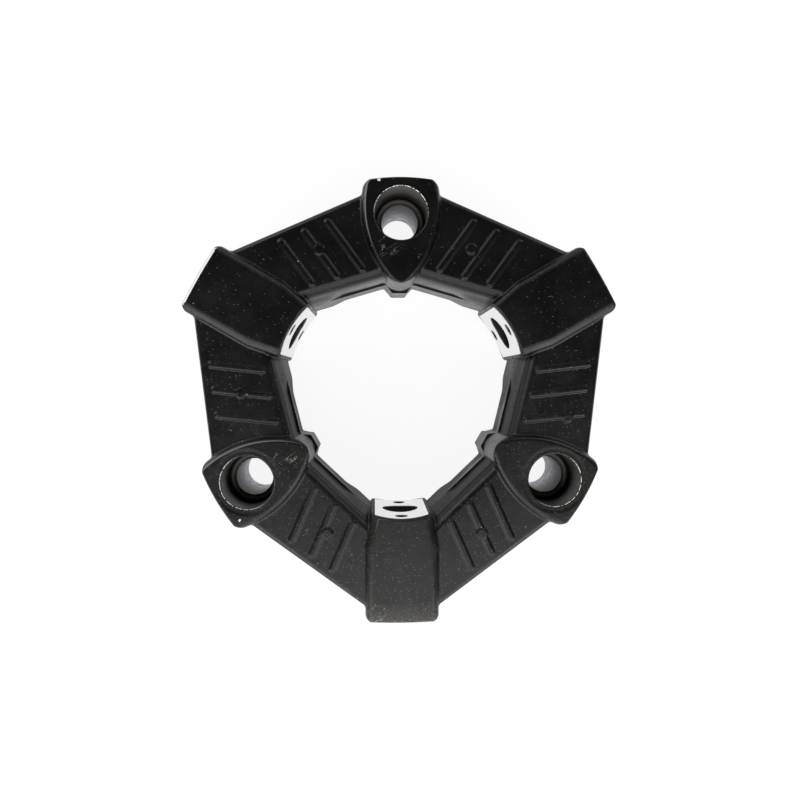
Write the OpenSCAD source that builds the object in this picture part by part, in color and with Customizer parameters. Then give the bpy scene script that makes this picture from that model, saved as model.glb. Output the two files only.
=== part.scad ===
// Elastic pump coupling: a moulded rubber ring that carries torque between a flange and a hub.
// Its axial lugs are bolted to the flange through sleeves, and its radial lugs to the hub through
// inserts with a hollow seat. The axis of rotation is Z, and the flange's face is z = 0.

/* [Axial lugs] */
// Diameter of the circle on which the axial screws sit
axial_pitch_d = 125; // [115:1:135]
// Width of an axial lug at its widest place
axial_w = 28; // [25:0.5:34]
// Rubber from the axial screw's centre to the outer end of the lug
axial_end = 12.5; // [12:0.5:18]
// Rubber from the axial screw's centre to the nose of the lug
axial_nose = 24.3; // [18:0.1:30]
// Distance from the axial screw's centre out to the widest place
axial_widest = 2.5; // [0:0.5:6]
// Radius of the two bowed sides of an axial lug
axial_side_r = 38; // [34:1:60]
// Half width of the flat end of the nose below the parting line
nose_flat = 2.75; // [1.5:0.25:4]
// Angle of the nose's lower flanks to its middle line
nose_flare = 35; // [25:1:40]

/* [Radial lugs] */
// Distance from the axis to the outer end of a radial lug
radial_reach = 81.7; // [76:0.1:90]
// Width of a radial lug along its straight sides
radial_w = 26.2; // [25:0.1:32]
// Width of a radial lug at the hub
radial_root_w = 22.4; // [21:0.1:25]
// Length over which a radial lug widens from the hub
radial_taper = 10; // [6:0.5:16]
// Radius of the slightly bowed outer end
radial_end_r = 200; // [100:5:400]

/* [Heights] */
// Height over the lugs
lug_h = 42; // [41:0.5:52]
// Height of the bars between the lugs
bar_h = 38; // [30:0.5:41]

/* [Bars] */
// Distance from the axis to the outer face of a bar
bar_outer = 69.2; // [66:0.1:72]
// Lean of the outer face towards the axial lug, in degrees
bar_outer_lean = 6.5; // [2:0.5:10]
// Distance from the axis to the inner face of a bar
bar_inner = 41.1; // [39:0.1:46]
// Lean of the inner face towards the axial lug, in degrees
bar_inner_lean = 13.8; // [10:0.1:17]
// Width of the step at the mould's parting line, below which the opening is narrower
ledge = 1; // [0.4:0.1:2]
// Rounding of the lugs' upright corners
corner_r = 2.5; // [1:0.25:4]

/* [Ribs] */
// Width of a rib
rib_w = 2; // [1:0.1:3]
// Height of a rib above its bar
rib_h = 0.7; // [0.4:0.1:1.5]
// Distance between neighbouring ribs
rib_pitch = 8.65; // [6:0.05:9]
// Lean of the ribs towards the radial lug, in degrees
rib_lean = 6.3; // [0:0.1:10]
// Distance from the axis at which the middle rib crosses its bar's middle line
rib_centre = 55; // [50:0.5:60]
// Distance of the rib ends from the faces of the bar
rib_inset = 3.2; // [2:0.1:6]
// Diameter of a bar's round ejector mark
mark_d = 3.8; // [2.5:0.1:6]
// Height of the ejector mark above its bar
mark_h = 0.9; // [0.3:0.1:1.6]

/* [Screw seats] */
// Diameter of the screw holes
screw_d = 13.5; // [11:0.1:15]
// Diameter of the recess for a screw's head
head_d = 18.5; // [17.5:0.1:21]
// Diameter of the metal around a screw hole
sleeve_d = 22; // [21.2:0.1:23]
// Length of an axial sleeve
sleeve_l = 26; // [16:0.5:34]
// Chamfer of a screw hole at the screw's head
hole_chamfer = 0.8; // [0.3:0.1:1.2]

/* [Radial inserts] */
// Diameter of the hub that the inserts seat on
hub_d = 89.4; // [86:0.2:94]
// Width of an insert's seat
insert_w = 19.2; // [17:0.1:20]
// Diameter of the round seat plate, which is cut off at both sides
plate_d = 39; // [36:0.5:40.5]
// Thickness of the seat plate at its middle
plate_t = 6; // [4:0.5:9]
// Length of an insert from the hub to the screw's head
insert_l = 18; // [13:0.5:24]
// Diameter of the two small holes in the seat
pin_d = 4.7; // [3:0.1:5.5]
// Distance of the small holes from the middle of the seat
pin_offset = 14.5; // [14:0.25:15]

/* [Fits] */
// Bond line between rubber and metal
bond = 0.05; // [0.02:0.01:0.1]
// Setback of the rubber behind an insert's seat
cheek_setback = 0.3; // [0.1:0.1:1.5]

/* [Hidden] */
$fn = 96;
axial_angles = [90, 210, 330];
radial_angles = [30, 150, 270];
bar_angles = [0, 60, 120, 180, 240, 300];
rib_rows = [-1, 0, 1];
// Place of each bar's ejector mark: out along the bar's middle line, then towards the radial lug
mark_places = [[59, -9], [56, -3.7], [57.6, -0.2], [56.3, 0], [56.3, 2], [57.8, 0.5]];
axial_r = axial_pitch_d / 2;
nose_r = axial_r - axial_nose;
hub_r = hub_d / 2;
plate_back = hub_r + plate_t;
seat_r = hub_r + insert_l;
mid_z = lug_h / 2;
bar_z = (lug_h - bar_h) / 2;
bar_top = bar_z + bar_h;
// Half angle between neighbouring lugs, on either side of a bar's middle line
lug_angle = 30;
// Distances from a lug's middle line at which the bars end inside it
axial_root = axial_w / 7;
radial_root = radial_w / 2 - 4;
// Depth to which a feature runs into what carries it, or a cut runs past a face
sink = 2;
wide = 2 * radial_reach;

// Unit vector at an angle
function unit(a) = [cos(a), sin(a)];

// Point where two lines meet, each given by its normal's angle and its distance from the axis
function crossing(a, d, b, e) =
    [d * sin(b) - e * sin(a), e * cos(a) - d * cos(b)] / sin(b - a);

// Outline of a bar with its middle line on +X and its radial lug on the +Y side
function bar_points(inner) = [
    crossing(-bar_outer_lean, bar_outer, 90 - lug_angle, axial_root),
    crossing(-bar_outer_lean, bar_outer, lug_angle - 90, radial_root),
    crossing(-bar_inner_lean, inner, lug_angle - 90, radial_root),
    crossing(-bar_inner_lean, inner, 90 - lug_angle, axial_root)
];

// Point at which a rib's line through p meets a face of the bar
function on_face(p, lean, dist) =
    p + unit(rib_lean) * (dist - p * unit(-lean)) / cos(rib_lean + lean);

// Outline with round ends about the points p and q
function slot_points(p, q, w) = let (a = atan2(q[1] - p[1], q[0] - p[0])) concat(
    [for (t = [-90:15:90]) q + unit(a + t) * w / 2],
    [for (t = [90:15:270]) p + unit(a + t) * w / 2]
);

// Rounds the outward corners of an outline
module rounded(r) offset(r = r) offset(delta = -r) children();

// Repeats a shape about the axis
module around(angles) for (a = angles) rotate(a) children();

// Shape laid along a radial lug's screw, its own Z pointing outwards
module along_screw() translate([0, 0, mid_z]) rotate([0, 90, 0]) children();

// Shield of an axial lug, pointing along +X
module axial_outline() {
    side = axial_side_r - axial_w / 2;
    rounded(corner_r) intersection() {
        circle(r = axial_r + axial_end);
        translate([axial_r + axial_widest, side]) circle(r = axial_side_r);
        translate([axial_r + axial_widest, -side]) circle(r = axial_side_r);
        translate([nose_r, -axial_w]) square([wide, 2 * axial_w]);
    }
}

// Wedge at the nose of an axial lug, below the parting line
module nose_outline() {
    tip = nose_r - ledge;
    run = ledge + 2 * sink;
    back_w = nose_flat + run * tan(nose_flare);
    polygon([[tip, -nose_flat], [tip + run, -back_w], [tip + run, back_w], [tip, nose_flat]]);
}

// Straight-sided radial lug that narrows towards the hub, pointing along +X
module radial_outline() {
    taper_end = hub_r + radial_taper;
    start = hub_r - 2 * sink;
    rounded(corner_r) intersection() {
        translate([radial_reach - radial_end_r, 0]) circle(r = radial_end_r);
        polygon([
            [start, -radial_root_w / 2], [hub_r, -radial_root_w / 2],
            [taper_end, -radial_w / 2], [wide, -radial_w / 2],
            [wide, radial_w / 2], [taper_end, radial_w / 2],
            [hub_r, radial_root_w / 2], [start, radial_root_w / 2]
        ]);
    }
}

module axial_lug() {
    linear_extrude(lug_h) axial_outline();
    linear_extrude(mid_z) nose_outline();
}

module radial_lug() difference() {
    linear_extrude(lug_h) radial_outline();
    translate([0, 0, -sink]) cylinder(r = hub_r + cheek_setback, h = lug_h + 2 * sink);
}

// One of a bar's ribs, counted from the middle one towards the radial lug
module rib(row) {
    p = [rib_centre, 0] + row * rib_pitch * unit(rib_lean + 90);
    end = rib_inset + rib_w / 2;
    linear_extrude(sink + rib_h) polygon(slot_points(
        on_face(p, bar_inner_lean, bar_inner + end), on_face(p, bar_outer_lean, bar_outer - end), rib_w));
}

// Bar between two lugs, with its ribs and its ejector mark
module bar(mark) {
    translate([0, 0, bar_z]) linear_extrude(mid_z - bar_z) polygon(bar_points(bar_inner - ledge));
    translate([0, 0, mid_z]) linear_extrude(bar_top - mid_z) polygon(bar_points(bar_inner));
    translate([0, 0, bar_top - sink]) {
        for (row = rib_rows) rib(row);
        translate(mark) cylinder(d = mark_d, h = sink + mark_h);
    }
}

// Room for a sleeve and the screw's head above it
module sleeve_pocket() translate([axial_r, 0, 0]) {
    translate([0, 0, -sink]) cylinder(d = sleeve_d + 2 * bond, h = sink + sleeve_l + bond);
    translate([0, 0, sleeve_l]) cylinder(d = head_d, h = lug_h);
}

// Body of an insert, grown by the bond line where the rubber is cut for it
module insert_blank(grow) {
    width = insert_w + 2 * grow;
    start = hub_r - plate_t;
    intersection() {
        along_screw() translate([0, 0, start])
            cylinder(d = plate_d + 2 * grow, h = plate_back + grow - start);
        translate([start - sink, -width / 2, 0]) cube([plate_t + insert_l, width, lug_h]);
    }
    along_screw() translate([0, 0, plate_back - sink - grow])
        cylinder(d = sleeve_d + 2 * grow, h = insert_l - plate_t + sink + 2 * grow);
}

// Room for an insert and the screw's head outside it
module insert_pocket() {
    insert_blank(bond);
    along_screw() translate([0, 0, seat_r]) cylinder(d = head_d, h = radial_reach);
}

module rubber_body() color("#1c1c1b") difference() {
    union() {
        around(axial_angles) axial_lug();
        around(radial_angles) radial_lug();
        for (i = [0:2:len(bar_angles) - 1]) rotate(bar_angles[i]) bar(mark_places[i]);
        for (i = [1:2:len(bar_angles) - 1]) rotate(bar_angles[i]) mirror([0, 1, 0]) bar(mark_places[i]);
    }
    around(axial_angles) sleeve_pocket();
    around(radial_angles) insert_pocket();
}

// Turned sleeve that carries an axial screw
module axial_sleeve(angle) color("#a9aaa8") rotate(angle) translate([axial_r, 0, 0]) rotate_extrude() {
    hole_r = screw_d / 2;
    mouth_r = hole_r + hole_chamfer;
    polygon([
        [hole_r, 0], [sleeve_d / 2, 0], [sleeve_d / 2, sleeve_l], [mouth_r, sleeve_l],
        [hole_r, sleeve_l - hole_chamfer]
    ]);
}

// Seat plate and round shank that carry a radial screw
module radial_insert(angle) color("#d6d7d6") rotate(angle) difference() {
    insert_blank(0);
    translate([0, 0, -sink]) cylinder(r = hub_r, h = lug_h + 2 * sink);
    along_screw() cylinder(d = screw_d, h = seat_r + sink);
    along_screw() translate([0, 0, seat_r - hole_chamfer])
        cylinder(r1 = screw_d / 2, r2 = screw_d / 2 + 2 * hole_chamfer, h = 2 * hole_chamfer);
    for (z = [-pin_offset, pin_offset]) translate([0, 0, z]) along_screw() cylinder(d = pin_d, h = seat_r);
}

rubber_body();
axial_sleeve(axial_angles[0]);  // axial_sleeve_1
axial_sleeve(axial_angles[1]);  // axial_sleeve_2
axial_sleeve(axial_angles[2]);  // axial_sleeve_3
radial_insert(radial_angles[0]);  // radial_insert_1
radial_insert(radial_angles[1]);  // radial_insert_2
radial_insert(radial_angles[2]);  // radial_insert_3
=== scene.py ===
"""Look of the elastic pump coupling: its rubber, its metal, the light and the camera."""

import bpy
import numpy as np
from mathutils import Matrix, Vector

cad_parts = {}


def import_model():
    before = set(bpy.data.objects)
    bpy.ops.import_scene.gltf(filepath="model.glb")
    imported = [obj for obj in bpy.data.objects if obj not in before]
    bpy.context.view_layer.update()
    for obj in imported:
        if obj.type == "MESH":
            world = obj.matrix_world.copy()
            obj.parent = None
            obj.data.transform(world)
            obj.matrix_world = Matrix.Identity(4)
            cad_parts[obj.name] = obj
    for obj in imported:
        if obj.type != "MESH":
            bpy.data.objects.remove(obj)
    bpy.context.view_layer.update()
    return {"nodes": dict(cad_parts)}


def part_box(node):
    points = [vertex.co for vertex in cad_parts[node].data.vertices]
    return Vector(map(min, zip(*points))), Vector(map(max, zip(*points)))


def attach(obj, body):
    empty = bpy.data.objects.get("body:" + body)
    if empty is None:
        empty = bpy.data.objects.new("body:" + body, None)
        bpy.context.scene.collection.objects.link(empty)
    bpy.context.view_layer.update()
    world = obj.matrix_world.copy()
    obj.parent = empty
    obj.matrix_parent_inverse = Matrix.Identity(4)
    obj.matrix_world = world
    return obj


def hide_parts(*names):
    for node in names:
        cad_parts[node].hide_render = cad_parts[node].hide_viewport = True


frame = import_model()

MM = 0.001

# Sizes of the rubber body, in millimetres
AXIAL_R = 62.5
AXIAL_W = 28.0
AXIAL_END = 12.5
AXIAL_NOSE = 24.3
AXIAL_WIDEST = 2.5
AXIAL_SIDE_R = 38.0
NOSE_FLAT = 2.75
NOSE_FLARE = np.radians(35.0)
RADIAL_REACH = 81.7
RADIAL_W = 26.2
RADIAL_ROOT_W = 22.4
RADIAL_TAPER = 10.0
RADIAL_END_R = 200.0
LUG_H = 42.0
BAR_H = 38.0
BAR_OUTER = 69.2
BAR_OUTER_LEAN = np.radians(6.5)
BAR_INNER = 41.1
BAR_INNER_LEAN = np.radians(13.8)
LEDGE = 1.0
RIB_W = 2.4
RIB_H = 0.75
RIB_PITCH = 8.65
RIB_LEAN = np.radians(6.3)
RIB_CENTRE = 55.0
RIB_INSET = 3.2
MARK_D = 3.8
MARK_H = 0.9
MARK_PLACES = ((59, -9), (56, -3.7), (57.6, -0.2), (56.3, 0), (56.3, 2), (57.8, 0.5))
HEAD_D = 18.5
SLEEVE_D = 22.0
SLEEVE_L = 26.0
HUB_R = 44.7
INSERT_W = 19.2
PLATE_D = 39.0
PLATE_T = 6.0
INSERT_L = 18.0
BOND = 0.05
CHEEK_SETBACK = 0.3
SINK = 2.0

# Roundings of the moulded edges, in millimetres
CORNER_R = 2.2
NOSE_CORNER_R = 2.0
AXIAL_EDGE_R = 0.5
AXIAL_SHOULDER = 1.3
RADIAL_EDGE_R = 1.3
RADIAL_SHOULDER = 1.7
SHOULDER_R = 1.0
BAR_OUTER_EDGE_R = 2.0
BAR_INNER_EDGE_R = 3.2
FOOT_R = 0.8
CHEEK_EDGE_R = 0.4
RIB_EDGE_R = 0.75
RIB_FOOT_R = 0.35
MARK_EDGE_R = 0.5
RIM_R = 0.5
FINE_R = 0.15

# Draft of the opening's walls above and below the parting line, in millimetres a millimetre
DRAFT_ABOVE = 0.015
DRAFT_BELOW = 0.1
DRAFT_NOSE = DRAFT_BELOW / 3

# Stretch of a bar, measured towards the radial lug, over which its ledge dies out, and the height from
# which the upper face comes in for that
LEDGE_FADE = (-1.0, 6.5)
LEDGE_FADE_TOP = 33.0

# Slit that the parting line leaves in the inner corner beside a radial lug: place, reach and height
SLIT_PLACE = (43.6, 12.4)
SLIT_R = 2.6
SLIT_H = 0.6

# Shallow dish that the mould's core leaves around a screw recess: stretch over which it ends, and depth
DISH_END = (10.6, 12.2)
DISH_DEPTH = 0.12

MID_Z = LUG_H / 2
BAR_TOP = MID_Z + BAR_H / 2
NOSE_R = AXIAL_R - AXIAL_NOSE
PLATE_BACK = HUB_R + PLATE_T
SEAT_R = HUB_R + INSERT_L
# Distances from a lug's middle line at which the bars end inside it
AXIAL_ROOT = AXIAL_W / 7
RADIAL_ROOT = RADIAL_W / 2 - 4
# Angle between neighbouring lugs of a kind, and where the axial ones are
THIRD = 2 * np.pi / 3
AXIAL_ANGLES = np.pi / 2 + THIRD * np.arange(3)

# Step of the grid on which the rubber's surface is found, coarser while other things are worked on
GRID_STEP = 0.36
# Heights at which the grid is cut, as stretches with a first height, a last height and a step
GRID_HEIGHTS = (
    (-0.8, 3.2, 0.4),
    (3.2, 19.2, 0.8),
    (19.2, 22.8, 0.24),
    (22.8, 35.6, 0.8),
    (35.6, 39.2, 0.36),
    (39.2, 43.2, 0.25),
)
# Distance from the surface within which the grid's own places are worked out, and how many at a time
GRID_NEAR = 4 * GRID_STEP
GRID_PART = 200000
RUBBER_TRIANGLES = 190000
# Area in square millimetres from which a face is broad, and the lean of a normal that it doesn't take on
BROAD_FACE = 0.4
BROAD_LEAN = np.radians(5.0)
# Length below which a vector counts as this long, so that nothing is divided by nought
TINY = 1e-9


def linear(hex_colour):
    """Turn an sRGB hex colour into linear red, green, blue and alpha."""
    code = np.array([int(hex_colour[i:i + 2], 16) for i in (1, 3, 5)]) / 255
    value = np.where(code <= 0.04045, code / 12.92, ((code + 0.055) / 1.055) ** 2.4)
    return (*value.tolist(), 1.0)


def add(tree, kind, links=None, values=None, **settings):
    """Add a node with its settings, its socket values and the sockets that feed it."""
    made = tree.nodes.new(kind)
    for key, value in settings.items():
        setattr(made, key, value)
    for key, value in (values or {}).items():
        made.inputs[key].default_value = value
    for key, source in (links or {}).items():
        tree.links.new(source, made.inputs[key])
    return made


def material(name):
    """Start a node material with an empty tree."""
    made = bpy.data.materials.new(name)
    made.use_nodes = True
    made.node_tree.nodes.clear()
    return made, made.node_tree


# Solid shapes as distances: negative inside, and edges rounded where two shapes meet

def round_max(a, b, r):
    """Both shapes at once: the larger distance, with the shared edge turned to radius r."""
    flat = np.minimum(np.maximum(a, b), -r)
    return flat + np.hypot(np.maximum(a + r, 0), np.maximum(b + r, 0))


def round_min(a, b, r):
    """Either shape: the smaller distance, with the inner corner filled to radius r."""
    return -round_max(-a, -b, r)


def ramp(value, start, end):
    """Smooth rise from 0 to 1 as a value goes from start to end."""
    t = np.clip((value - start) / (end - start), 0, 1)
    return t * t * (3 - 2 * t)


def turned(x, y, angle):
    """Coordinates along and across a direction at an angle."""
    c, s = np.cos(angle), np.sin(angle)
    return x * c + y * s, y * c - x * s


def folded(x, y):
    """Fold the plane onto the sixth between an axial lug on +X and a radial lug at 60 degrees."""
    reach = np.hypot(x, y)
    angle = np.abs((np.arctan2(y, x) - np.pi / 2 + THIRD / 2) % THIRD - THIRD / 2)
    return reach * np.cos(angle), reach * np.sin(angle)


def with_shoulder(outline, sides, across, slope_w, edge_r):
    """Lug of an outline with a flat top and bottom, and with a slope from them down to its sides."""
    over = across - LUG_H / 2
    shoulder = (sides + over + slope_w) / np.sqrt(2)
    return round_max(round_max(outline, shoulder, SHOULDER_R), over, edge_r)


def axial_lug(x, y, z, across):
    """Shield between two bowed sides, the end circle and a flat nose, with a wedge nose below."""
    side = AXIAL_SIDE_R - AXIAL_W / 2
    bow = np.hypot(x - AXIAL_R - AXIAL_WIDEST, y + side) - AXIAL_SIDE_R
    shield = round_max(bow, np.hypot(x, y) - AXIAL_R - AXIAL_END, CORNER_R)
    shield = round_max(shield, NOSE_R - x, NOSE_CORNER_R)
    lug = with_shoulder(shield, bow, across, AXIAL_SHOULDER, AXIAL_EDGE_R)
    tip = NOSE_R - LEDGE + DRAFT_NOSE * (MID_Z - z)
    flank = (y - NOSE_FLAT) * np.cos(NOSE_FLARE) - (x - tip) * np.sin(NOSE_FLARE)
    wedge = round_max(np.maximum(tip - x, x - NOSE_R - 2 * SINK), flank, 2 * FINE_R)
    wedge = round_max(wedge, across - LUG_H / 2, AXIAL_SHOULDER)
    wedge = round_max(wedge, z - MID_Z, FINE_R)
    return round_min(lug, wedge, FINE_R)


def radial_lug(u, v, reach, across):
    """Straight sides that taper to the hub, a bowed outer end and a hollow inner end."""
    lean = np.arctan2((RADIAL_W - RADIAL_ROOT_W) / 2, RADIAL_TAPER)
    taper = (v - RADIAL_ROOT_W / 2) * np.cos(lean) - (u - HUB_R) * np.sin(lean)
    sides = np.maximum(taper, v - RADIAL_W / 2)
    end = np.hypot(u - RADIAL_REACH + RADIAL_END_R, v) - RADIAL_END_R
    outline = round_max(sides, end, CORNER_R)
    lug = with_shoulder(outline, sides, across, RADIAL_SHOULDER, RADIAL_EDGE_R)
    return round_max(lug, HUB_R + CHEEK_SETBACK - reach, CHEEK_EDGE_R)


def bar(along, aside, y, v, z, across):
    """Leaning outer and inner faces and a flat top; the opening is narrower below the parting line,
    except near the radial lug, where the upper face comes in to meet the lower one."""
    outer = along * np.cos(BAR_OUTER_LEAN) - aside * np.sin(BAR_OUTER_LEAN) - BAR_OUTER
    depth = along * np.cos(BAR_INNER_LEAN) - aside * np.sin(BAR_INNER_LEAN)
    fade = ramp(aside, *LEDGE_FADE) * ramp(z, LEDGE_FADE_TOP, MID_Z)
    above = BAR_INNER - LEDGE * fade + DRAFT_ABOVE * (z - MID_Z) - depth
    below = BAR_INNER - LEDGE + DRAFT_BELOW * (MID_Z - z) - depth
    inner = round_min(above, round_max(below, z - MID_Z, FINE_R), FINE_R)
    slab = round_max(outer, across - BAR_H / 2, BAR_OUTER_EDGE_R)
    solid = round_max(slab, inner, BAR_INNER_EDGE_R)
    return np.maximum(solid, np.maximum(AXIAL_ROOT - y, RADIAL_ROOT - v))


def on_face(p, lean, distance):
    """Point where the line of a rib through p meets a leaning face of the bar."""
    run = np.array([np.cos(RIB_LEAN), np.sin(RIB_LEAN)])
    normal = np.array([np.cos(lean), -np.sin(lean)])
    return p + run * (distance - p @ normal) / (run @ normal)


def ribs(along, aside):
    """Distance to the middle line of the nearest of the three ribs."""
    across = np.array([-np.sin(RIB_LEAN), np.cos(RIB_LEAN)])
    end = RIB_INSET + RIB_W / 2
    nearest = np.inf
    for row in (-1, 0, 1):
        p = np.array([RIB_CENTRE, 0.0]) + row * RIB_PITCH * across
        a = on_face(p, BAR_INNER_LEAN, BAR_INNER + end)
        b = on_face(p, BAR_OUTER_LEAN, BAR_OUTER - end)
        run = b - a
        t = np.clip(((along - a[0]) * run[0] + (aside - a[1]) * run[1]) / (run @ run), 0, 1)
        nearest = np.minimum(nearest, np.hypot(along - a[0] - t * run[0], aside - a[1] - t * run[1]))
    return nearest


def marks(x, y):
    """Distance to the nearest of the round ejector marks, one on each bar."""
    nearest = np.inf
    for place, (along, aside) in enumerate(MARK_PLACES):
        angle = place * np.pi / 3
        aside = aside * (-1) ** place
        cx = along * np.cos(angle) - aside * np.sin(angle)
        cy = along * np.sin(angle) + aside * np.cos(angle)
        nearest = np.minimum(nearest, np.hypot(x - cx, y - cy))
    return nearest - MARK_D / 2


def on_bar(along, aside, x, y, z):
    """What stands on a bar: its three ribs and its low ejector mark, with rounded upper edges."""
    rib = round_max(ribs(along, aside) - RIB_W / 2, z - BAR_TOP - RIB_H, RIB_EDGE_R)
    mark = round_max(marks(x, y), z - BAR_TOP - MARK_H, MARK_EDGE_R)
    return np.maximum(round_min(rib, mark, RIB_FOOT_R), BAR_TOP - SINK - z)


def rubber(x, y, z):
    """Distance to the rubber: lugs, bars and ribs joined with fillets, less the room for metal and screws."""
    fx, fy = folded(x, y)
    reach = np.hypot(x, y)
    u, v = turned(fx, fy, np.pi / 3)
    v = np.abs(v)
    along, aside = turned(fx, fy, np.pi / 6)
    across = np.abs(z - MID_Z)
    body = round_min(bar(along, aside, fy, v, z, across), axial_lug(fx, fy, z, across), FOOT_R)
    body = round_min(body, radial_lug(u, v, reach, across), FOOT_R)
    slit = np.maximum(np.hypot(u - SLIT_PLACE[0], v - SLIT_PLACE[1]) - SLIT_R, across - SLIT_H / 2)
    body = np.maximum(body, -slit)
    body = round_min(body, on_bar(along, aside, x, y, z), RIB_FOOT_R)
    hole = np.hypot(fx - AXIAL_R, fy)
    body = np.maximum(body, z - LUG_H + DISH_DEPTH * (1 - ramp(hole, *DISH_END)))
    body = round_max(body, -np.maximum(hole - HEAD_D / 2, SLEEVE_L - z), RIM_R)
    body = np.maximum(body, -np.maximum(hole - SLEEVE_D / 2 - BOND, z - SLEEVE_L - BOND))
    screw = np.hypot(v, z - MID_Z)
    body = round_max(body, -np.maximum(screw - HEAD_D / 2, SEAT_R - u), RIM_R)
    shank = np.maximum(screw - SLEEVE_D / 2 - BOND, np.maximum(PLATE_BACK - SINK - u, u - SEAT_R - BOND))
    body = np.maximum(body, -shank)
    plate = np.maximum(v - INSERT_W / 2 - BOND, screw - PLATE_D / 2 - BOND)
    return np.maximum(body, -np.maximum(plate, u - PLATE_BACK - BOND))


# Surface of a solid given as a distance

def slope(points, step=0.02):
    """Gradient of the rubber's distance at points, from differences over a small step."""
    parts = []
    for axis in range(3):
        shift = np.zeros(3)
        shift[axis] = step
        parts.append((rubber(*(points + shift).T) - rubber(*(points - shift).T)) / (2 * step))
    return np.stack(parts, axis=1)


def settle(points, rounds=3, most=0.3, flattest=0.2):
    """Move points down the distance's slope onto the surface, by at most a small step a round: each goes by
    -d * grad / |grad|^2, where the square is never less than flattest."""
    for _ in range(rounds):
        grad = slope(points)
        size = np.maximum((grad ** 2).sum(axis=1), flattest)
        move = -(rubber(*points.T) / size)[:, None] * grad
        length = np.linalg.norm(move, axis=1, keepdims=True)
        points = points + move * np.minimum(1, most / np.maximum(length, TINY))
    return points


def net(values, xs, ys, zs):
    """Net over the zero of a grid of distances: a point in each cell that the surface crosses, at the
    mean of the places where it cuts the cell's edges, and a face across each grid edge that it cuts."""
    inside = values < 0
    corners = [(i, j, k) for i in (0, 1) for j in (0, 1) for k in (0, 1)]
    shape = tuple(n - 1 for n in values.shape)
    count = sum(
        inside[i:i + shape[0], j:j + shape[1], k:k + shape[2]].astype(np.uint8) for i, j, k in corners
    )
    active = (count > 0) & (count < len(corners))
    cell = np.argwhere(active)
    number = np.full(shape, -1, dtype=np.int32)
    number[active] = np.arange(len(cell), dtype=np.int32)
    total = np.zeros((len(cell), 3))
    hits = np.zeros(len(cell))
    at = {c: values[tuple((cell + c).T)].astype(float) for c in corners}
    for low in corners:
        for axis in range(3):
            if low[axis]:
                continue
            high = tuple(low[n] + (n == axis) for n in range(3))
            cut = (at[low] < 0) != (at[high] < 0)
            t = at[low][cut] / (at[low][cut] - at[high][cut])
            place = np.tile(np.array(low, dtype=float), (len(t), 1))
            place[:, axis] = t
            total[cut] += place
            hits[cut] += 1
    local = total / hits[:, None]
    points = np.empty_like(local)
    for axis, line in enumerate((xs, ys, zs)):
        first = line[cell[:, axis]]
        points[:, axis] = first + local[:, axis] * (line[cell[:, axis] + 1] - first)
    faces = []
    for axis in range(3):
        one, two = (axis + 1) % 3, (axis + 2) % 3
        low = [slice(1, -1)] * 3
        high = [slice(1, -1)] * 3
        low[axis] = slice(None, -1)
        high[axis] = slice(1, None)
        cut = np.argwhere(inside[tuple(low)] != inside[tuple(high)])
        cut[:, one] += 1
        cut[:, two] += 1
        quad = []
        for a, b in ((1, 1), (0, 1), (0, 0), (1, 0)):
            c = cut.copy()
            c[:, one] -= a
            c[:, two] -= b
            quad.append(number[tuple(c.T)])
        quad = np.stack(quad, axis=1)
        outward = inside[tuple(cut.T)]
        faces.append(np.where(outward[:, None], quad, quad[:, ::-1]))
    return points, np.concatenate(faces)


def new_mesh(name, points, faces):
    """Mesh of points in millimetres and faces of equal size, placed in metres and shaded smooth."""
    mesh = bpy.data.meshes.new(name)
    size = faces.shape[1]
    mesh.vertices.add(len(points))
    mesh.vertices.foreach_set("co", (points * MM).astype(np.float32).ravel())
    mesh.loops.add(faces.size)
    mesh.loops.foreach_set("vertex_index", faces.astype(np.int32).ravel())
    mesh.polygons.add(len(faces))
    mesh.polygons.foreach_set("loop_start", np.arange(0, faces.size, size, dtype=np.int32))
    mesh.update(calc_edges=True)
    mesh.polygons.foreach_set("use_smooth", np.ones(len(faces), dtype=bool))
    mesh.validate()
    return mesh


def piece(name, mesh):
    """Object at the origin that shows a mesh."""
    made = bpy.data.objects.new(name, mesh)
    bpy.context.scene.collection.objects.link(made)
    return made


def thinned(mesh, triangles):
    """Copy of a mesh with its flat stretches thinned out until few enough triangles are left."""
    whole = piece("thinning", mesh)
    cut = whole.modifiers.new("thin", "DECIMATE")
    cut.ratio = min(1.0, triangles / (2 * len(mesh.polygons)))
    cut.use_collapse_triangulate = True
    seen = whole.evaluated_get(bpy.context.evaluated_depsgraph_get())
    made = bpy.data.meshes.new_from_object(seen)
    bpy.data.objects.remove(whole)
    return made


def sampled(xs, ys, zs):
    """Distances on a grid: every second line of it first, then the places near the surface one by one."""
    coarse = rubber(xs[::2, None, None], ys[None, ::2, None], zs[None, None, ::2])
    index = []
    for line, count in zip((xs, ys, zs), coarse.shape):
        index.append(np.minimum((np.arange(len(line)) + 1) // 2, count - 1))
    values = coarse[np.ix_(*index)]
    near = np.argwhere(np.abs(values) < GRID_NEAR)
    for part in np.array_split(near, max(1, len(near) // GRID_PART)):
        i, j, k = part.T
        values[i, j, k] = rubber(xs[i], ys[j], zs[k])
    return values


def shade_smooth(mesh, normals):
    """Give each corner its point's normal, except on a broad face that the normal leans away from."""
    corner = np.empty(len(mesh.loops), dtype=np.int32)
    mesh.loops.foreach_get("vertex_index", corner)
    facing = np.empty(len(mesh.polygons) * 3, dtype=np.float32)
    mesh.polygons.foreach_get("normal", facing)
    area = np.empty(len(mesh.polygons), dtype=np.float32)
    mesh.polygons.foreach_get("area", area)
    facing = np.repeat(facing.reshape(-1, 3), 3, axis=0)
    broad = np.repeat(area, 3) > BROAD_FACE * MM ** 2
    chosen = normals[corner]
    leaning = (chosen * facing).sum(axis=1) < np.cos(BROAD_LEAN)
    chosen = np.where((broad & leaning)[:, None], facing, chosen)
    mesh.normals_split_custom_set(chosen.tolist())


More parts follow.
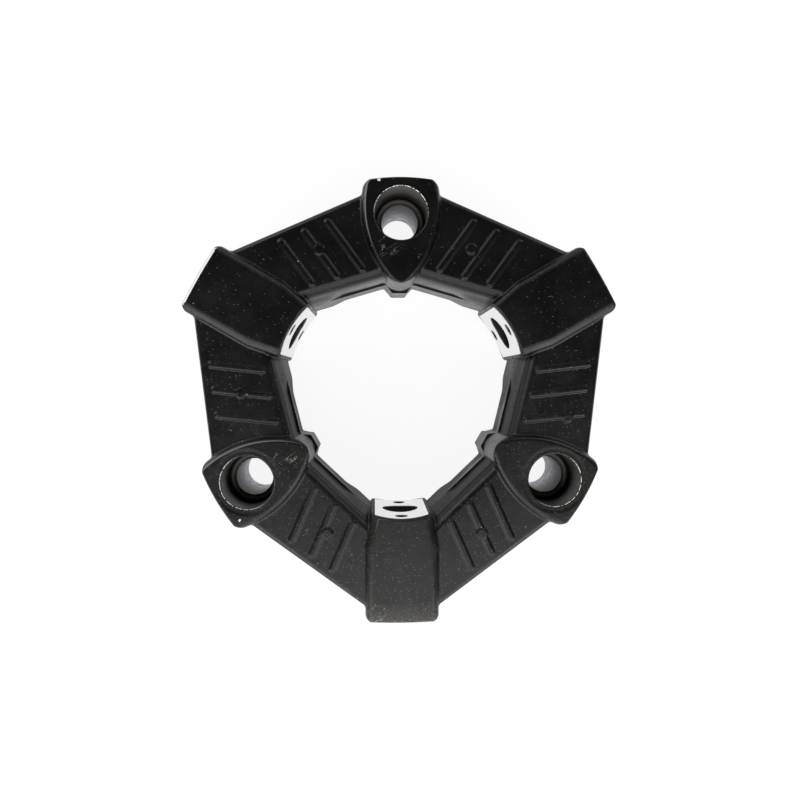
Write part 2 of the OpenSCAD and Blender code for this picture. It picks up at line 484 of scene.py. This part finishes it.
def rubber_body():
    """Rubber body: its distance on a grid, netted, thinned where it is flat, with the distance's own normals
    and with each point's place measured from the nearest axial screw in millimetres."""
    margin = 2 * GRID_STEP
    low, high = np.array(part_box("rubber_body")) / MM
    xs = np.arange(low[0] - margin, high[0] + margin, GRID_STEP)
    ys = np.arange(low[1] - margin, high[1] + margin, GRID_STEP)
    zs = np.concatenate([np.arange(a, b - step / 2, step) for a, b, step in GRID_HEIGHTS])
    points, faces = net(sampled(xs, ys, zs), xs, ys, zs)
    mesh = thinned(new_mesh("rubber net", settle(points), faces), RUBBER_TRIANGLES)
    mesh.name = "rubber_body_skin"
    places = np.empty(len(mesh.vertices) * 3, dtype=np.float32)
    mesh.vertices.foreach_get("co", places)
    places = places.reshape(-1, 3).astype(float) / MM
    normals = slope(places)
    normals /= np.maximum(np.linalg.norm(normals, axis=1, keepdims=True), TINY)
    shade_smooth(mesh, normals)
    first = AXIAL_ANGLES[0]
    near = first + THIRD * np.round((np.arctan2(places[:, 1], places[:, 0]) - first) / THIRD)
    along, aside = turned(places[:, 0], places[:, 1], near)
    kept = mesh.attributes.new("screw_place", "FLOAT_VECTOR", "POINT")
    kept.data.foreach_set("vector", np.column_stack([along - AXIAL_R, aside, places[:, 2]]).ravel())
    return piece("rubber_body_skin", mesh)


# Materials

# Clusters of scratches and white chips: places in metres, and reach in millimetres
SCRATCHED = (
    ((-0.004, 0.0505, 0.042), 5.0),
    ((-0.040, -0.023, 0.042), 6.0),
    ((-0.010, -0.079, 0.042), 6.0),
    ((0.011, -0.079, 0.042), 5.0),
)
CHIPPED = (((-0.0065, 0.0753, 0.0426), 0.8), ((-0.0558, -0.0433, 0.0428), 0.6))
# Specks of dust: sizes of a cell and of its speck in millimetres, share of cells with one, and colour
SPECKS = ((0.7, 0.18, 0.65, "#84827b"), (2.0, 0.28, 0.12, "#b9b5a8"))
# Middle of the lug end whose upper edge carries a painted white highlight, and the way that edges with
# painted highlights face
HIGHLIGHTED_END = (-0.0707, 0.0408, 0.042)
HIGHLIGHT_WAY = (-0.77, 0.64, 0.0)


def within(tree, limits, most=1.0):
    """Mask that reaches its most where each value has gone from its first to its second limit: every ramp
    rises only as far as the ramp before it."""
    top = {}
    for value, first, second in limits:
        mask = add(
            tree,
            "ShaderNodeMapRange",
            {"Value": value, **top},
            {"From Min": first, "From Max": second, "To Max": most},
        ).outputs[0]
        top = {"To Max": mask}
    return mask


def rubber_places(tree):
    """Where a place on the rubber lies, which way it faces, and the noises that its looks share. What is
    measured from a screw is in millimetres, and the rest in metres."""
    place = add(tree, "ShaderNodeTexCoord").outputs["Object"]
    along = add(tree, "ShaderNodeSeparateXYZ", {0: place})
    normal = add(tree, "ShaderNodeNewGeometry").outputs["Normal"]
    facing = add(tree, "ShaderNodeSeparateXYZ", {0: normal})
    screw = add(tree, "ShaderNodeAttribute", attribute_name="screw_place").outputs["Vector"]
    from_screw = add(tree, "ShaderNodeSeparateXYZ", {0: screw})
    hole = add(tree, "ShaderNodeVectorMath", {0: screw}, {1: (1, 1, 0)}, operation="MULTIPLY")
    hole = add(tree, "ShaderNodeVectorMath", {0: hole.outputs[0]}, operation="LENGTH")
    reach = add(tree, "ShaderNodeVectorMath", {0: place}, {1: (1, 1, 0)}, operation="MULTIPLY")
    reach = add(tree, "ShaderNodeVectorMath", {0: reach.outputs[0]}, operation="LENGTH")

    # The opening's walls lie near the axis, the lugs' noses nearest to it, and recess walls near a screw
    inner = add(
        tree,
        "ShaderNodeMapRange",
        {"Value": reach.outputs["Value"]},
        {"From Min": 51 * MM, "From Max": 47 * MM, "To Max": 1.0},
    )
    nose = add(
        tree,
        "ShaderNodeMapRange",
        {"Value": reach.outputs["Value"]},
        {"From Min": 41.2 * MM, "From Max": 40.4 * MM, "To Max": 0.8},
    )
    wall = add(
        tree,
        "ShaderNodeMapRange",
        {"Value": hole.outputs["Value"]},
        {"From Min": HEAD_D / 2 + 0.25, "From Max": HEAD_D / 2 + 0.05, "To Max": 1.0},
    )

    # How far forward a place is: dust and scuffs get thicker towards the front lug
    front = add(
        tree,
        "ShaderNodeMapRange",
        {"Value": along.outputs["Y"]},
        {"From Min": 60 * MM, "From Max": -80 * MM, "To Min": 0.1, "To Max": 1.0},
    )

    # Blots of about 12 mm with a fine broken edge, and a grain drawn at 0.8 mm, coarser than the real one
    blots = add(
        tree,
        "ShaderNodeTexNoise",
        {"Vector": place},
        {"Scale": 1 / (12 * MM), "Detail": 9, "Roughness": 0.72},
    )
    grain = add(tree, "ShaderNodeTexNoise", {"Vector": place}, {"Scale": 1 / (0.8 * MM), "Detail": 3})
    return {
        "place": place,
        "x": along.outputs["X"],
        "y": along.outputs["Y"],
        "z": along.outputs["Z"],
        "normal": normal,
        "up": facing.outputs["Z"],
        "from screw": hole.outputs["Value"],
        "beyond screw": from_screw.outputs["X"],
        "height": from_screw.outputs["Z"],
        "inner": inner.outputs[0],
        "nose": nose.outputs[0],
        "recess wall": wall.outputs[0],
        "front": front.outputs[0],
        "blots": blots.outputs["Fac"],
        "grain": grain.outputs["Fac"],
    }


def rubber_skin(tree, at):
    """Unevenness of the moulded skin: soft waves of 6 mm, and the grain on them."""
    waves = add(tree, "ShaderNodeTexNoise", {"Vector": at["place"]}, {"Scale": 1 / (6 * MM), "Detail": 3})
    uneven = add(
        tree,
        "ShaderNodeBump",
        {"Height": waves.outputs["Fac"]},
        {"Strength": 0.25, "Distance": 0.4 * MM},
    )
    bump = add(
        tree,
        "ShaderNodeBump",
        {"Height": at["grain"], "Normal": uneven.outputs["Normal"]},
        {"Strength": 0.4, "Distance": 0.08 * MM},
    )
    return bump.outputs["Normal"]


def rubber_bloom_and_wall_light(tree, at):
    """Thickness of the bloom, a dull grey film on the opening's walls, which also carries their painted
    light: mottled, thinner near their tops and towards the front as painted shade, thick on the noses as a
    painted highlight, and only a trace of it on the outer walls."""
    mottle = add(
        tree,
        "ShaderNodeMapRange",
        {"Value": at["blots"]},
        {"From Min": 0.35, "From Max": 0.62, "To Min": 0.25, "To Max": 1.0},
    )
    bloom_and_wall_light = mottle
    # Painted light: the film thins high on the walls, as painted shade where less light comes up from the
    # table, and on the walls towards the front, as painted shade where they face away from the front lamps
    for source, start, end, least in (
        (at["up"], 0.18, 0.04, 0.0),
        (at["z"], 36 * MM, 24 * MM, 0.12),
        (at["y"], 0.0, 33 * MM, 0.2),
        (at["inner"], 0.0, 1.0, 0.15),
    ):
        share = add(
            tree,
            "ShaderNodeMapRange",
            {"Value": source},
            {"From Min": start, "From Max": end, "To Min": least, "To Max": 1.0},
        )
        bloom_and_wall_light = add(tree, "ShaderNodeMath", {0: bloom_and_wall_light.outputs[0], 1: share.outputs[0]}, operation="MULTIPLY")
    # Painted highlight: a thick film on the steep walls of the noses
    steep = add(
        tree,
        "ShaderNodeMapRange",
        {"Value": at["up"]},
        {"From Min": 0.6, "From Max": 0.3, "To Max": 1.0},
    )
    thick = add(tree, "ShaderNodeMath", {0: mottle.outputs[0], 1: at["nose"]}, operation="MULTIPLY")
    thick = add(tree, "ShaderNodeMath", {0: thick.outputs[0], 1: steep.outputs[0]}, operation="MULTIPLY")
    bloom_and_wall_light = add(tree, "ShaderNodeMath", {0: bloom_and_wall_light.outputs[0], 1: thick.outputs[0]}, operation="MAXIMUM")
    return bloom_and_wall_light.outputs[0]


def rubber_films(tree, at, bloom_and_wall_light):
    """Colour of the rubber with its films: brownish scuffs in blots, the bloom with its painted light, and
    brown on the recess walls, lighter near the rim and darker deeper down as painted shade."""
    film = add(
        tree,
        "ShaderNodeMapRange",
        {"Value": at["blots"]},
        {"From Min": 0.45, "From Max": 0.75, "To Max": 0.55},
    )
    film = add(tree, "ShaderNodeMath", {0: film.outputs[0], 1: at["front"]}, operation="MULTIPLY")
    colour = add(
        tree,
        "ShaderNodeMix",
        {"Factor": film.outputs[0]},
        {"A": linear("#050505"), "B": linear("#24221e")},
        data_type="RGBA",
    )
    # The bloom's grey, which also paints the walls' light and shade
    colour = add(
        tree,
        "ShaderNodeMix",
        {"Factor": bloom_and_wall_light, "A": colour.outputs["Result"]},
        {"B": linear("#949492")},
        data_type="RGBA",
    )
    # Painted shade: the brown on the recess walls darkens deeper down
    recess_depth_shade = add(
        tree,
        "ShaderNodeMapRange",
        {"Value": at["height"]},
        {"From Min": SLEEVE_L + 1, "From Max": LUG_H - 1, "To Min": 0.3, "To Max": 1.0},
    )
    brown = add(tree, "ShaderNodeMath", {0: at["recess wall"], 1: recess_depth_shade.outputs[0]}, operation="MULTIPLY")
    colour = add(
        tree,
        "ShaderNodeMix",
        {"Factor": brown.outputs[0], "A": colour.outputs["Result"]},
        {"B": linear("#45433e")},
        data_type="RGBA",
    )
    return colour.outputs["Result"]


def rubber_specks(tree, at, colour):
    """Dust in specks of two sizes, each in its own cell, with more of them towards the front."""
    for cell, size, share, shade in SPECKS:
        cells = add(tree, "ShaderNodeTexVoronoi", {"Vector": at["place"]}, {"Scale": 1 / (cell * MM)})
        dot = add(
            tree,
            "ShaderNodeMapRange",
            {"Value": cells.outputs["Distance"]},
            {"From Min": size / cell, "From Max": size / cell / 3, "To Max": 1.0},
        )
        lot = add(tree, "ShaderNodeSeparateColor", {0: cells.outputs["Color"]})
        drawn = add(tree, "ShaderNodeMath", {0: at["front"]}, {1: share}, operation="MULTIPLY")
        drawn = add(tree, "ShaderNodeMath", {0: lot.outputs[0], 1: drawn.outputs[0]}, operation="LESS_THAN")
        speck = add(tree, "ShaderNodeMath", {0: dot.outputs[0], 1: drawn.outputs[0]}, operation="MULTIPLY")
        speck = add(tree, "ShaderNodeMath", {0: speck.outputs[0], 1: lot.outputs[1]}, operation="MULTIPLY")
        colour = add(
            tree,
            "ShaderNodeMix",
            {"Factor": speck.outputs[0], "A": colour},
            {"B": linear(shade)},
            data_type="RGBA",
        ).outputs["Result"]
    return colour


def rubber_scratches(tree, at, colour):
    """Fine scratches in a few clusters: broken level lines of a noise of 3 mm drawn out along one slant."""
    slant = add(
        tree,
        "ShaderNodeMapping",
        {"Vector": at["place"]},
        {"Rotation": (0, 0, np.radians(40)), "Scale": (4, 1, 1)},
        vector_type="TEXTURE",
    )
    wander = add(
        tree,
        "ShaderNodeTexNoise",
        {"Vector": slant.outputs[0]},
        {"Scale": 1 / (3 * MM), "Detail": 3, "Roughness": 0.5},
    )
    line = add(tree, "ShaderNodeMath", {0: wander.outputs["Fac"]}, {1: 0.52, 2: 0.004}, operation="COMPARE")
    broken = add(
        tree,
        "ShaderNodeMapRange",
        {"Value": at["blots"]},
        {"From Min": 0.44, "From Max": 0.52, "To Max": 1.0},
    )
    line = add(tree, "ShaderNodeMath", {0: line.outputs[0], 1: broken.outputs[0]}, operation="MULTIPLY")
    for spot, spread in SCRATCHED:
        away = add(tree, "ShaderNodeVectorMath", {0: at["place"]}, {1: spot}, operation="DISTANCE")
        near = add(
            tree,
            "ShaderNodeMapRange",
            {"Value": away.outputs["Value"]},
            {"From Min": spread * MM, "From Max": spread / 2 * MM, "To Max": 1.0},
        )
        scratch = add(tree, "ShaderNodeMath", {0: line.outputs[0], 1: near.outputs[0]}, operation="MULTIPLY")
        colour = add(
            tree,
            "ShaderNodeMix",
            {"Factor": scratch.outputs[0], "A": colour},
            {"B": linear("#8c8a83")},
            data_type="RGBA",
        ).outputs["Result"]
    return colour


def rubber_chips(tree, at, colour):
    """White chips at two lug ends, with an edge made ragged by a noise of 1.5 mm."""
    bend = add(tree, "ShaderNodeTexNoise", {"Vector": at["place"]}, {"Scale": 1 / (1.5 * MM), "Detail": 2})
    bend = add(
        tree,
        "ShaderNodeVectorMath",
        {0: bend.outputs["Color"], 2: at["place"]},
        {1: (2 * MM, 2 * MM, 2 * MM)},
        operation="MULTIPLY_ADD",
    )
    for spot, size in CHIPPED:
        away = add(tree, "ShaderNodeVectorMath", {0: bend.outputs[0]}, {1: spot}, operation="DISTANCE")
        chip = add(
            tree,
            "ShaderNodeMapRange",
            {"Value": away.outputs["Value"]},
            {"From Min": size * MM, "From Max": 0.7 * size * MM, "To Max": 1.0},
        )
        colour = add(
            tree,
            "ShaderNodeMix",
            {"Factor": chip.outputs[0], "A": colour},
            {"B": linear("#e6e3d8")},
            data_type="RGBA",
        ).outputs["Result"]
    return colour


def rubber_painted_highlights(tree, at, colour):
    """Painted highlights: thin light lines on lug edges that face one way, and a white one along one lug's
    end.
    """
    lean = add(tree, "ShaderNodeVectorMath", {0: at["normal"]}, {1: HIGHLIGHT_WAY}, operation="DOT_PRODUCT")
    lean = lean.outputs["Value"]
    away = add(tree, "ShaderNodeVectorMath", {0: at["place"]}, {1: HIGHLIGHTED_END}, operation="DISTANCE")
    side = ((at["x"], 0.0, -8 * MM), (at["y"], -50 * MM, -40 * MM))
    near = ((away.outputs["Value"], 17 * MM, 13 * MM),)
    # Painted highlights along upper edges: a grey line on the left lugs' edges and a white one at one lug's
    # end
    for limits, depth, shade in ((side, 0.2, "#77777a"), (near, 0.7, "#ececea")):
        edge = (at["z"], (LUG_H - depth) * MM, (LUG_H - 0.7 * depth) * MM)
        painted_highlight = within(tree, (*limits, (lean, 0.12, 0.25), (lean, 0.85, 0.75), edge))
        colour = add(
            tree,
            "ShaderNodeMix",
            {"Factor": painted_highlight, "A": colour},
            {"B": linear(shade)},
            data_type="RGBA",
        ).outputs["Result"]
    return colour


def rubber_settled(tree, at, colour):
    """Settled dust: a pale, grainy film, grains drawn at 0.4 mm and coarser than real ones, on top of the
    front lug's outer end and on the slopes of the front lugs and bars."""
    grains = add(tree, "ShaderNodeTexNoise", {"Vector": at["place"]}, {"Scale": 1 / (0.4 * MM), "Detail": 2})
    end = ((at["y"], -74 * MM, -82 * MM), (at["up"], 0.1, 0.6))
    slopes = ((at["y"], -20 * MM, -70 * MM), (at["up"], 0.96, 0.8), (at["up"], 0.15, 0.4))
    for limits, most in ((end, 0.35), (slopes, 0.07)):
        settled = within(tree, (*limits, (grains.outputs["Fac"], 0.4, 0.65)), most)
        colour = add(
            tree,
            "ShaderNodeMix",
            {"Factor": settled, "A": colour},
            {"B": linear("#a39f94")},
            data_type="RGBA",
        ).outputs["Result"]
    return colour


def rubber_rim_highlight(tree, at, colour):
    """Painted highlight, a broken white line 0.2 mm wide, on the outer side of each screw recess's rim."""
    rim = add(
        tree,
        "ShaderNodeMath",
        {0: at["from screw"]},
        {1: HEAD_D / 2 + RIM_R / 2, 2: 0.1},
        operation="COMPARE",
    )
    high = add(tree, "ShaderNodeMath", {0: at["height"]}, {1: LUG_H - 0.6}, operation="GREATER_THAN")
    dashes = within(tree, ((at["beyond screw"], -2.0, 6.0), (at["grain"], 0.42, 0.5)))
    rim_highlight = add(tree, "ShaderNodeMath", {0: rim.outputs[0], 1: high.outputs[0]}, operation="MULTIPLY")
    rim_highlight = add(tree, "ShaderNodeMath", {0: rim_highlight.outputs[0], 1: dashes}, operation="MULTIPLY")
    # Painted highlight in white along the rim
    colour = add(
        tree,
        "ShaderNodeMix",
        {"Factor": rim_highlight.outputs[0], "A": colour},
        {"B": linear("#f0eee6")},
        data_type="RGBA",
    )
    return colour.outputs["Result"]


def rubber_gloss(tree, at, bloom_and_wall_light):
    """Roughness and gloss: broken by the scuffs, duller where the surface turns into the opening, lost where
    the bloom lies and on the opening's walls, most near their tops and towards the front."""
    rough = add(
        tree,
        "ShaderNodeMapRange",
        {"Value": at["blots"]},
        {"From Min": 0.3, "From Max": 0.7, "To Min": 0.27, "To Max": 0.4},
    )
    turning = within(tree, ((at["inner"], 0.0, 1.0), (at["up"], 0.99, 0.75)))
    rough = add(
        tree,
        "ShaderNodeMath",
        {0: turning, 2: rough.outputs[0]},
        {1: 0.12},
        operation="MULTIPLY_ADD",
    )
    dull = add(tree, "ShaderNodeMath", {0: bloom_and_wall_light, 1: at["recess wall"]}, operation="MAXIMUM")
    gloss = add(
        tree,
        "ShaderNodeMapRange",
        {"Value": dull.outputs[0]},
        {"From Max": 0.3, "To Min": 0.4, "To Max": 0.1},
    )
    level = add(
        tree,
        "ShaderNodeMapRange",
        {"Value": at["y"]},
        {"From Min": 0.0, "From Max": 33 * MM, "To Min": 0.035, "To Max": 0.12},
    )
    deep = add(
        tree,
        "ShaderNodeMapRange",
        {"Value": at["z"]},
        {"From Min": 35.5 * MM, "From Max": 31.5 * MM, "To Min": 0.2, "To Max": 1.0},
    )
    level = add(tree, "ShaderNodeMath", {0: level.outputs[0], 1: deep.outputs[0]}, operation="MULTIPLY")
    lost = within(tree, ((at["inner"], 0.0, 1.0), (at["up"], 0.5, 0.1)))
    lost = add(tree, "ShaderNodeMath", {0: lost, 1: at["nose"]}, operation="SUBTRACT")
    gloss = add(
        tree,
        "ShaderNodeMapRange",
        {"Value": lost.outputs[0], "To Min": gloss.outputs[0], "To Max": level.outputs[0]},
    )
    return rough.outputs[0], gloss.outputs[0]


def moulded_rubber():
    """Black moulded rubber: half dull and near black, with a soft unevenness, a grey bloom on its upright
    walls that also paints their light and shade, brownish scuffs, light dust that is thicker towards the
    front, a few scratches and chips, painted highlights on some edges and rims, and painted shade deep in the
    screw recesses."""
    made, tree = material("moulded rubber")
    at = rubber_places(tree)
    bloom_and_wall_light = rubber_bloom_and_wall_light(tree, at)
    colour = rubber_films(tree, at, bloom_and_wall_light)
    colour = rubber_specks(tree, at, colour)
    colour = rubber_scratches(tree, at, colour)
    colour = rubber_chips(tree, at, colour)
    colour = rubber_painted_highlights(tree, at, colour)
    colour = rubber_settled(tree, at, colour)
    colour = rubber_rim_highlight(tree, at, colour)
    rough, gloss = rubber_gloss(tree, at, bloom_and_wall_light)
    shader = add(
        tree,
        "ShaderNodeBsdfPrincipled",
        {
            "Base Color": colour,
            "Roughness": rough,
            "Specular IOR Level": gloss,
            "Normal": rubber_skin(tree, at),
        },
        {"IOR": 1.5},
    )
    add(tree, "ShaderNodeOutputMaterial", {"Surface": shader.outputs["BSDF"]})
    return made


def turned_steel():
    """Zinc plated turned steel: mottled purple grey in the bore with painted shade towards its mouth, and
    brown with grime on the end face under painted shade, with a painted lit ring.
    """
    made, tree = material("zinc plated steel")
    place = add(tree, "ShaderNodeTexCoord").outputs["Object"]
    at = add(tree, "ShaderNodeSeparateXYZ", {0: place})
    mottle = add(
        tree,
        "ShaderNodeTexNoise",
        {"Vector": place},
        {"Scale": 1 / (2.2 * MM), "Detail": 8, "Roughness": 0.75},
    )
    blotch = add(
        tree,
        "ShaderNodeMapRange",
        {"Value": mottle.outputs["Fac"]},
        {"From Min": 0.36, "From Max": 0.64, "To Max": 1.0},
    )
    colour = add(
        tree,
        "ShaderNodeMix",
        {"Factor": blotch.outputs[0]},
        {"A": linear("#56535e"), "B": linear("#bebcc4")},
        data_type="RGBA",
    )
    # Painted shade: the bore turns darker and duller towards its mouth
    mouth_shade = add(
        tree,
        "ShaderNodeMapRange",
        {"Value": at.outputs["Z"]},
        {"From Min": 6 * MM, "From Max": 22 * MM, "To Max": 0.8},
    )
    colour = add(
        tree,
        "ShaderNodeMix",
        {"Factor": mouth_shade.outputs[0], "A": colour.outputs["Result"]},
        {"B": linear("#3c3b3f")},
        data_type="RGBA",
    )

    # Grime on the end face: near black as painted shade, with a lighter ring around the bore's mouth, its
    # brown grey lit as painted light
    nearest = {}
    for angle in AXIAL_ANGLES:
        mouth_place = (AXIAL_R * MM * np.cos(angle), AXIAL_R * MM * np.sin(angle), SLEEVE_L * MM)
        away = add(tree, "ShaderNodeVectorMath", {0: place}, {1: mouth_place}, operation="DISTANCE")
        away = add(
            tree,
            "ShaderNodeMath",
            {0: away.outputs["Value"], **nearest},
            {1: AXIAL_R * MM},
            operation="MINIMUM",
        )
        nearest = {1: away.outputs[0]}
    grime_and_shade = add(
        tree,
        "ShaderNodeMapRange",
        {"Value": at.outputs["Z"]},
        {"From Min": (SLEEVE_L - 0.4) * MM, "From Max": (SLEEVE_L - 0.1) * MM, "To Max": 1.0},
    )
    # Painted light: the brown grey ring between the dark chamfer and the shaded edge of the counterbore
    lit_ring = within(tree, ((away.outputs[0], 7.1 * MM, 7.5 * MM), (away.outputs[0], 8.7 * MM, 8.2 * MM)))
    brown = add(
        tree,
        "ShaderNodeMix",
        {"Factor": lit_ring},
        {"A": linear("#12100e"), "B": linear("#7c7870")},
        data_type="RGBA",
    )
    colour = add(
        tree,
        "ShaderNodeMix",
        {"Factor": grime_and_shade.outputs[0], "A": colour.outputs["Result"], "B": brown.outputs["Result"]},
        data_type="RGBA",
    )
    dull = add(tree, "ShaderNodeMath", {0: grime_and_shade.outputs[0], 1: mouth_shade.outputs[0]}, operation="MAXIMUM")
    metal = add(
        tree,
        "ShaderNodeMapRange",
        {"Value": dull.outputs[0]},
        {"To Min": 0.9, "To Max": 0.05},
    )
    rough = add(
        tree,
        "ShaderNodeMapRange",
        {"Value": mottle.outputs["Fac"]},
        {"To Min": 0.35, "To Max": 0.6},
    )
    bump = add(
        tree,
        "ShaderNodeBump",
        {"Height": mottle.outputs["Fac"]},
        {"Strength": 0.3, "Distance": 0.04 * MM},
    )
    shader = add(
        tree,
        "ShaderNodeBsdfPrincipled",
        {
            "Base Color": colour.outputs["Result"],
            "Metallic": metal.outputs[0],
            "Roughness": rough.outputs[0],
            "Normal": bump.outputs["Normal"],
        },
        {"Specular IOR Level": 0.15},
    )
    add(tree, "ShaderNodeOutputMaterial", {"Surface": shader.outputs["BSDF"]})
    return made


def machined_aluminium():
    """Bright machined aluminium on the seat, with faint blots; near black inside its holes as painted shade.
    """
    made, tree = material("machined aluminium")
    place = add(tree, "ShaderNodeTexCoord").outputs["Object"]
    flat = add(tree, "ShaderNodeVectorMath", {0: place}, {1: (1, 1, 0)}, operation="MULTIPLY")
    reach = add(tree, "ShaderNodeVectorMath", {0: flat.outputs[0]}, operation="LENGTH")
    blots = add(
        tree,
        "ShaderNodeTexNoise",
        {"Vector": place},
        {"Scale": 1 / (3 * MM), "Detail": 6, "Roughness": 0.65},
    )
    colour = add(
        tree,
        "ShaderNodeMix",
        {"Factor": blots.outputs["Fac"]},
        {"A": linear("#e4e4e8"), "B": linear("#fdfdfd")},
        data_type="RGBA",
    )
    # Painted shade: near black inside the holes, behind the seat's face
    inside = add(
        tree,
        "ShaderNodeMapRange",
        {"Value": reach.outputs["Value"]},
        {"From Min": (HUB_R + 0.1) * MM, "From Max": (HUB_R + 0.4) * MM, "To Max": 1.0},
    )
    colour = add(
        tree,
        "ShaderNodeMix",
        {"Factor": inside.outputs[0], "A": colour.outputs["Result"]},
        {"B": linear("#3a3937")},
        data_type="RGBA",
    )
    metal = add(
        tree,
        "ShaderNodeMapRange",
        {"Value": inside.outputs[0]},
        {"To Min": 1.0, "To Max": 0.2},
    )
    rough = add(
        tree,
        "ShaderNodeMapRange",
        {"Value": blots.outputs["Fac"]},
        {"To Min": 0.25, "To Max": 0.45},
    )
    shader = add(
        tree,
        "ShaderNodeBsdfPrincipled",
        {
            "Base Color": colour.outputs["Result"],
            "Metallic": metal.outputs[0],
            "Roughness": rough.outputs[0],
        },
    )
    add(tree, "ShaderNodeOutputMaterial", {"Surface": shader.outputs["BSDF"]})
    return made


def white_floor():
    """White table: mostly its own white for the eye and for reflections; the rest takes soft shadows."""
    made, tree = material("white table")
    path = add(tree, "ShaderNodeLightPath")
    seen = add(
        tree,
        "ShaderNodeMath",
        {0: path.outputs["Is Camera Ray"], 1: path.outputs["Is Glossy Ray"]},
        operation="MAXIMUM",
    )
    seen = add(
        tree,
        "ShaderNodeMath",
        {0: seen.outputs[0], 1: path.outputs["Is Transmission Ray"]},
        operation="MAXIMUM",
    )
    plain = add(tree, "ShaderNodeBsdfDiffuse", None, {"Color": linear("#e8e8e8")})
    shaded = add(tree, "ShaderNodeBsdfDiffuse", None, {"Color": linear("#6c6c6c")})
    glow = add(tree, "ShaderNodeEmission", None, {"Color": (1, 1, 1, 1), "Strength": 0.9})
    bright = add(tree, "ShaderNodeAddShader", {0: shaded.outputs[0], 1: glow.outputs[0]})
    both = add(
        tree, "ShaderNodeMixShader", {0: seen.outputs[0], 1: plain.outputs[0], 2: bright.outputs[0]}
    )
    add(tree, "ShaderNodeOutputMaterial", {"Surface": both.outputs[0]})
    return made


# Stage, light and camera

FLOOR_SIZE = 6.0
FLOOR_GAP = 0.0001
LAMP_AWAY = 0.95
# Softboxes: azimuth and elevation in degrees, width and height in metres, radiance where 1 is white
LAMPS = (
    ("front high", 270, 62, 1.5, 0.47, 2.1),
    ("front low", 270, 20, 1.0, 0.6, 2.1),
    ("front left", 225, 28, 0.45, 0.6, 3.6),
    ("front right", 315, 28, 0.45, 0.6, 3.6),
    ("left", 152, 24, 0.15, 0.3, 16.0),
    ("rear left", 126, 27, 0.4, 0.45, 3.2),
    ("rear right", 48, 25, 0.4, 0.45, 2.8),
    ("rear", 87, 30, 0.35, 0.35, 1.8),
)
AMBIENT = 0.05
# Camera: place in metres, turn from straight down about its own axes, and lens in millimetres
CAMERA_PLACE = (-0.00947, 0.00335, 0.2869)
CAMERA_TILT = np.radians([1.405, -2.069, -0.224])
CAMERA_LENS = 31.51


def floor():
    """Square floor just under the lugs."""
    half = FLOOR_SIZE / 2 / MM
    corners = np.array([[-half, -half], [half, -half], [half, half], [-half, half]])
    points = np.column_stack([corners, np.full(4, -FLOOR_GAP / MM)])
    made = piece("floor", new_mesh("floor", points, np.array([[0, 1, 2, 3]])))
    made.data.materials.append(white_floor())


def lamp(name, azimuth, elevation, width, height, radiance):
    """Rectangular softbox that faces the object's middle."""
    a, e = np.radians([azimuth, elevation])
    back = np.array([np.cos(a) * np.cos(e), np.sin(a) * np.cos(e), np.sin(e)])
    light = bpy.data.lights.new(name, "AREA")
    light.shape = "RECTANGLE"
    light.size = width
    light.size_y = height
    light.energy = radiance * np.pi * width * height
    made = bpy.data.objects.new(name, light)
    bpy.context.scene.collection.objects.link(made)
    made.matrix_world = Matrix.Translation(back * LAMP_AWAY) @ aim(back)


def aim(back):
    """Turn whose local Z points along a direction and whose X stays level."""
    z = back / np.linalg.norm(back)
    x = np.cross([0.0, 1.0, 0.0] if abs(z[2]) > 0.99 else [0.0, 0.0, 1.0], z)
    x /= np.linalg.norm(x)
    y = np.cross(z, x)
    return Matrix(np.column_stack([x, y, z]).tolist()).to_4x4()


def camera():
    """Camera over the object, a little left of the middle, as the photograph was taken."""
    angle = np.linalg.norm(CAMERA_TILT)
    axis = CAMERA_TILT / angle
    tilt = np.array(Matrix.Rotation(angle, 3, axis.tolist()))
    rows = tilt @ np.diag([1.0, -1.0, -1.0])
    turn = Matrix(np.column_stack([rows[0], -rows[1], -rows[2]]).tolist()).to_4x4()
    data = bpy.data.cameras.new("camera")
    data.lens = CAMERA_LENS
    data.clip_start = 0.01
    made = bpy.data.objects.new("camera", data)
    bpy.context.scene.collection.objects.link(made)
    made.matrix_world = Matrix.Translation(CAMERA_PLACE) @ turn
    bpy.context.scene.camera = made


def world():
    """White behind everything for the camera, and dim even light for the rest."""
    made = bpy.data.worlds.new("studio")
    bpy.context.scene.world = made
    made.use_nodes = True
    tree = made.node_tree
    tree.nodes.clear()
    path = add(tree, "ShaderNodeLightPath")
    dim = add(tree, "ShaderNodeBackground", None, {"Color": (1, 1, 1, 1), "Strength": AMBIENT})
    white = add(tree, "ShaderNodeBackground", None, {"Color": (1, 1, 1, 1), "Strength": 1.0})
    both = add(
        tree,
        "ShaderNodeMixShader",
        {0: path.outputs["Is Camera Ray"], 1: dim.outputs[0], 2: white.outputs[0]},
    )
    add(tree, "ShaderNodeOutputWorld", {"Surface": both.outputs[0]})


def main():
    """Set the stage, give the rubber its own mesh, and give the metal nodes their materials."""
    bpy.context.scene.view_settings.view_transform = "Standard"
    camera()
    world()
    floor()
    for settings in LAMPS:
        lamp(*settings)
    skin = rubber_body()
    skin.data.materials.append(moulded_rubber())
    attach(skin, "root")
    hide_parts("rubber_body")
    steel = turned_steel()
    aluminium = machined_aluminium()
    for name, node in frame["nodes"].items():
        if name.startswith("axial_sleeve"):
            node.data.materials.clear()
            node.data.materials.append(steel)
        if name.startswith("radial_insert"):
            node.data.materials.clear()
            node.data.materials.append(aluminium)


main()
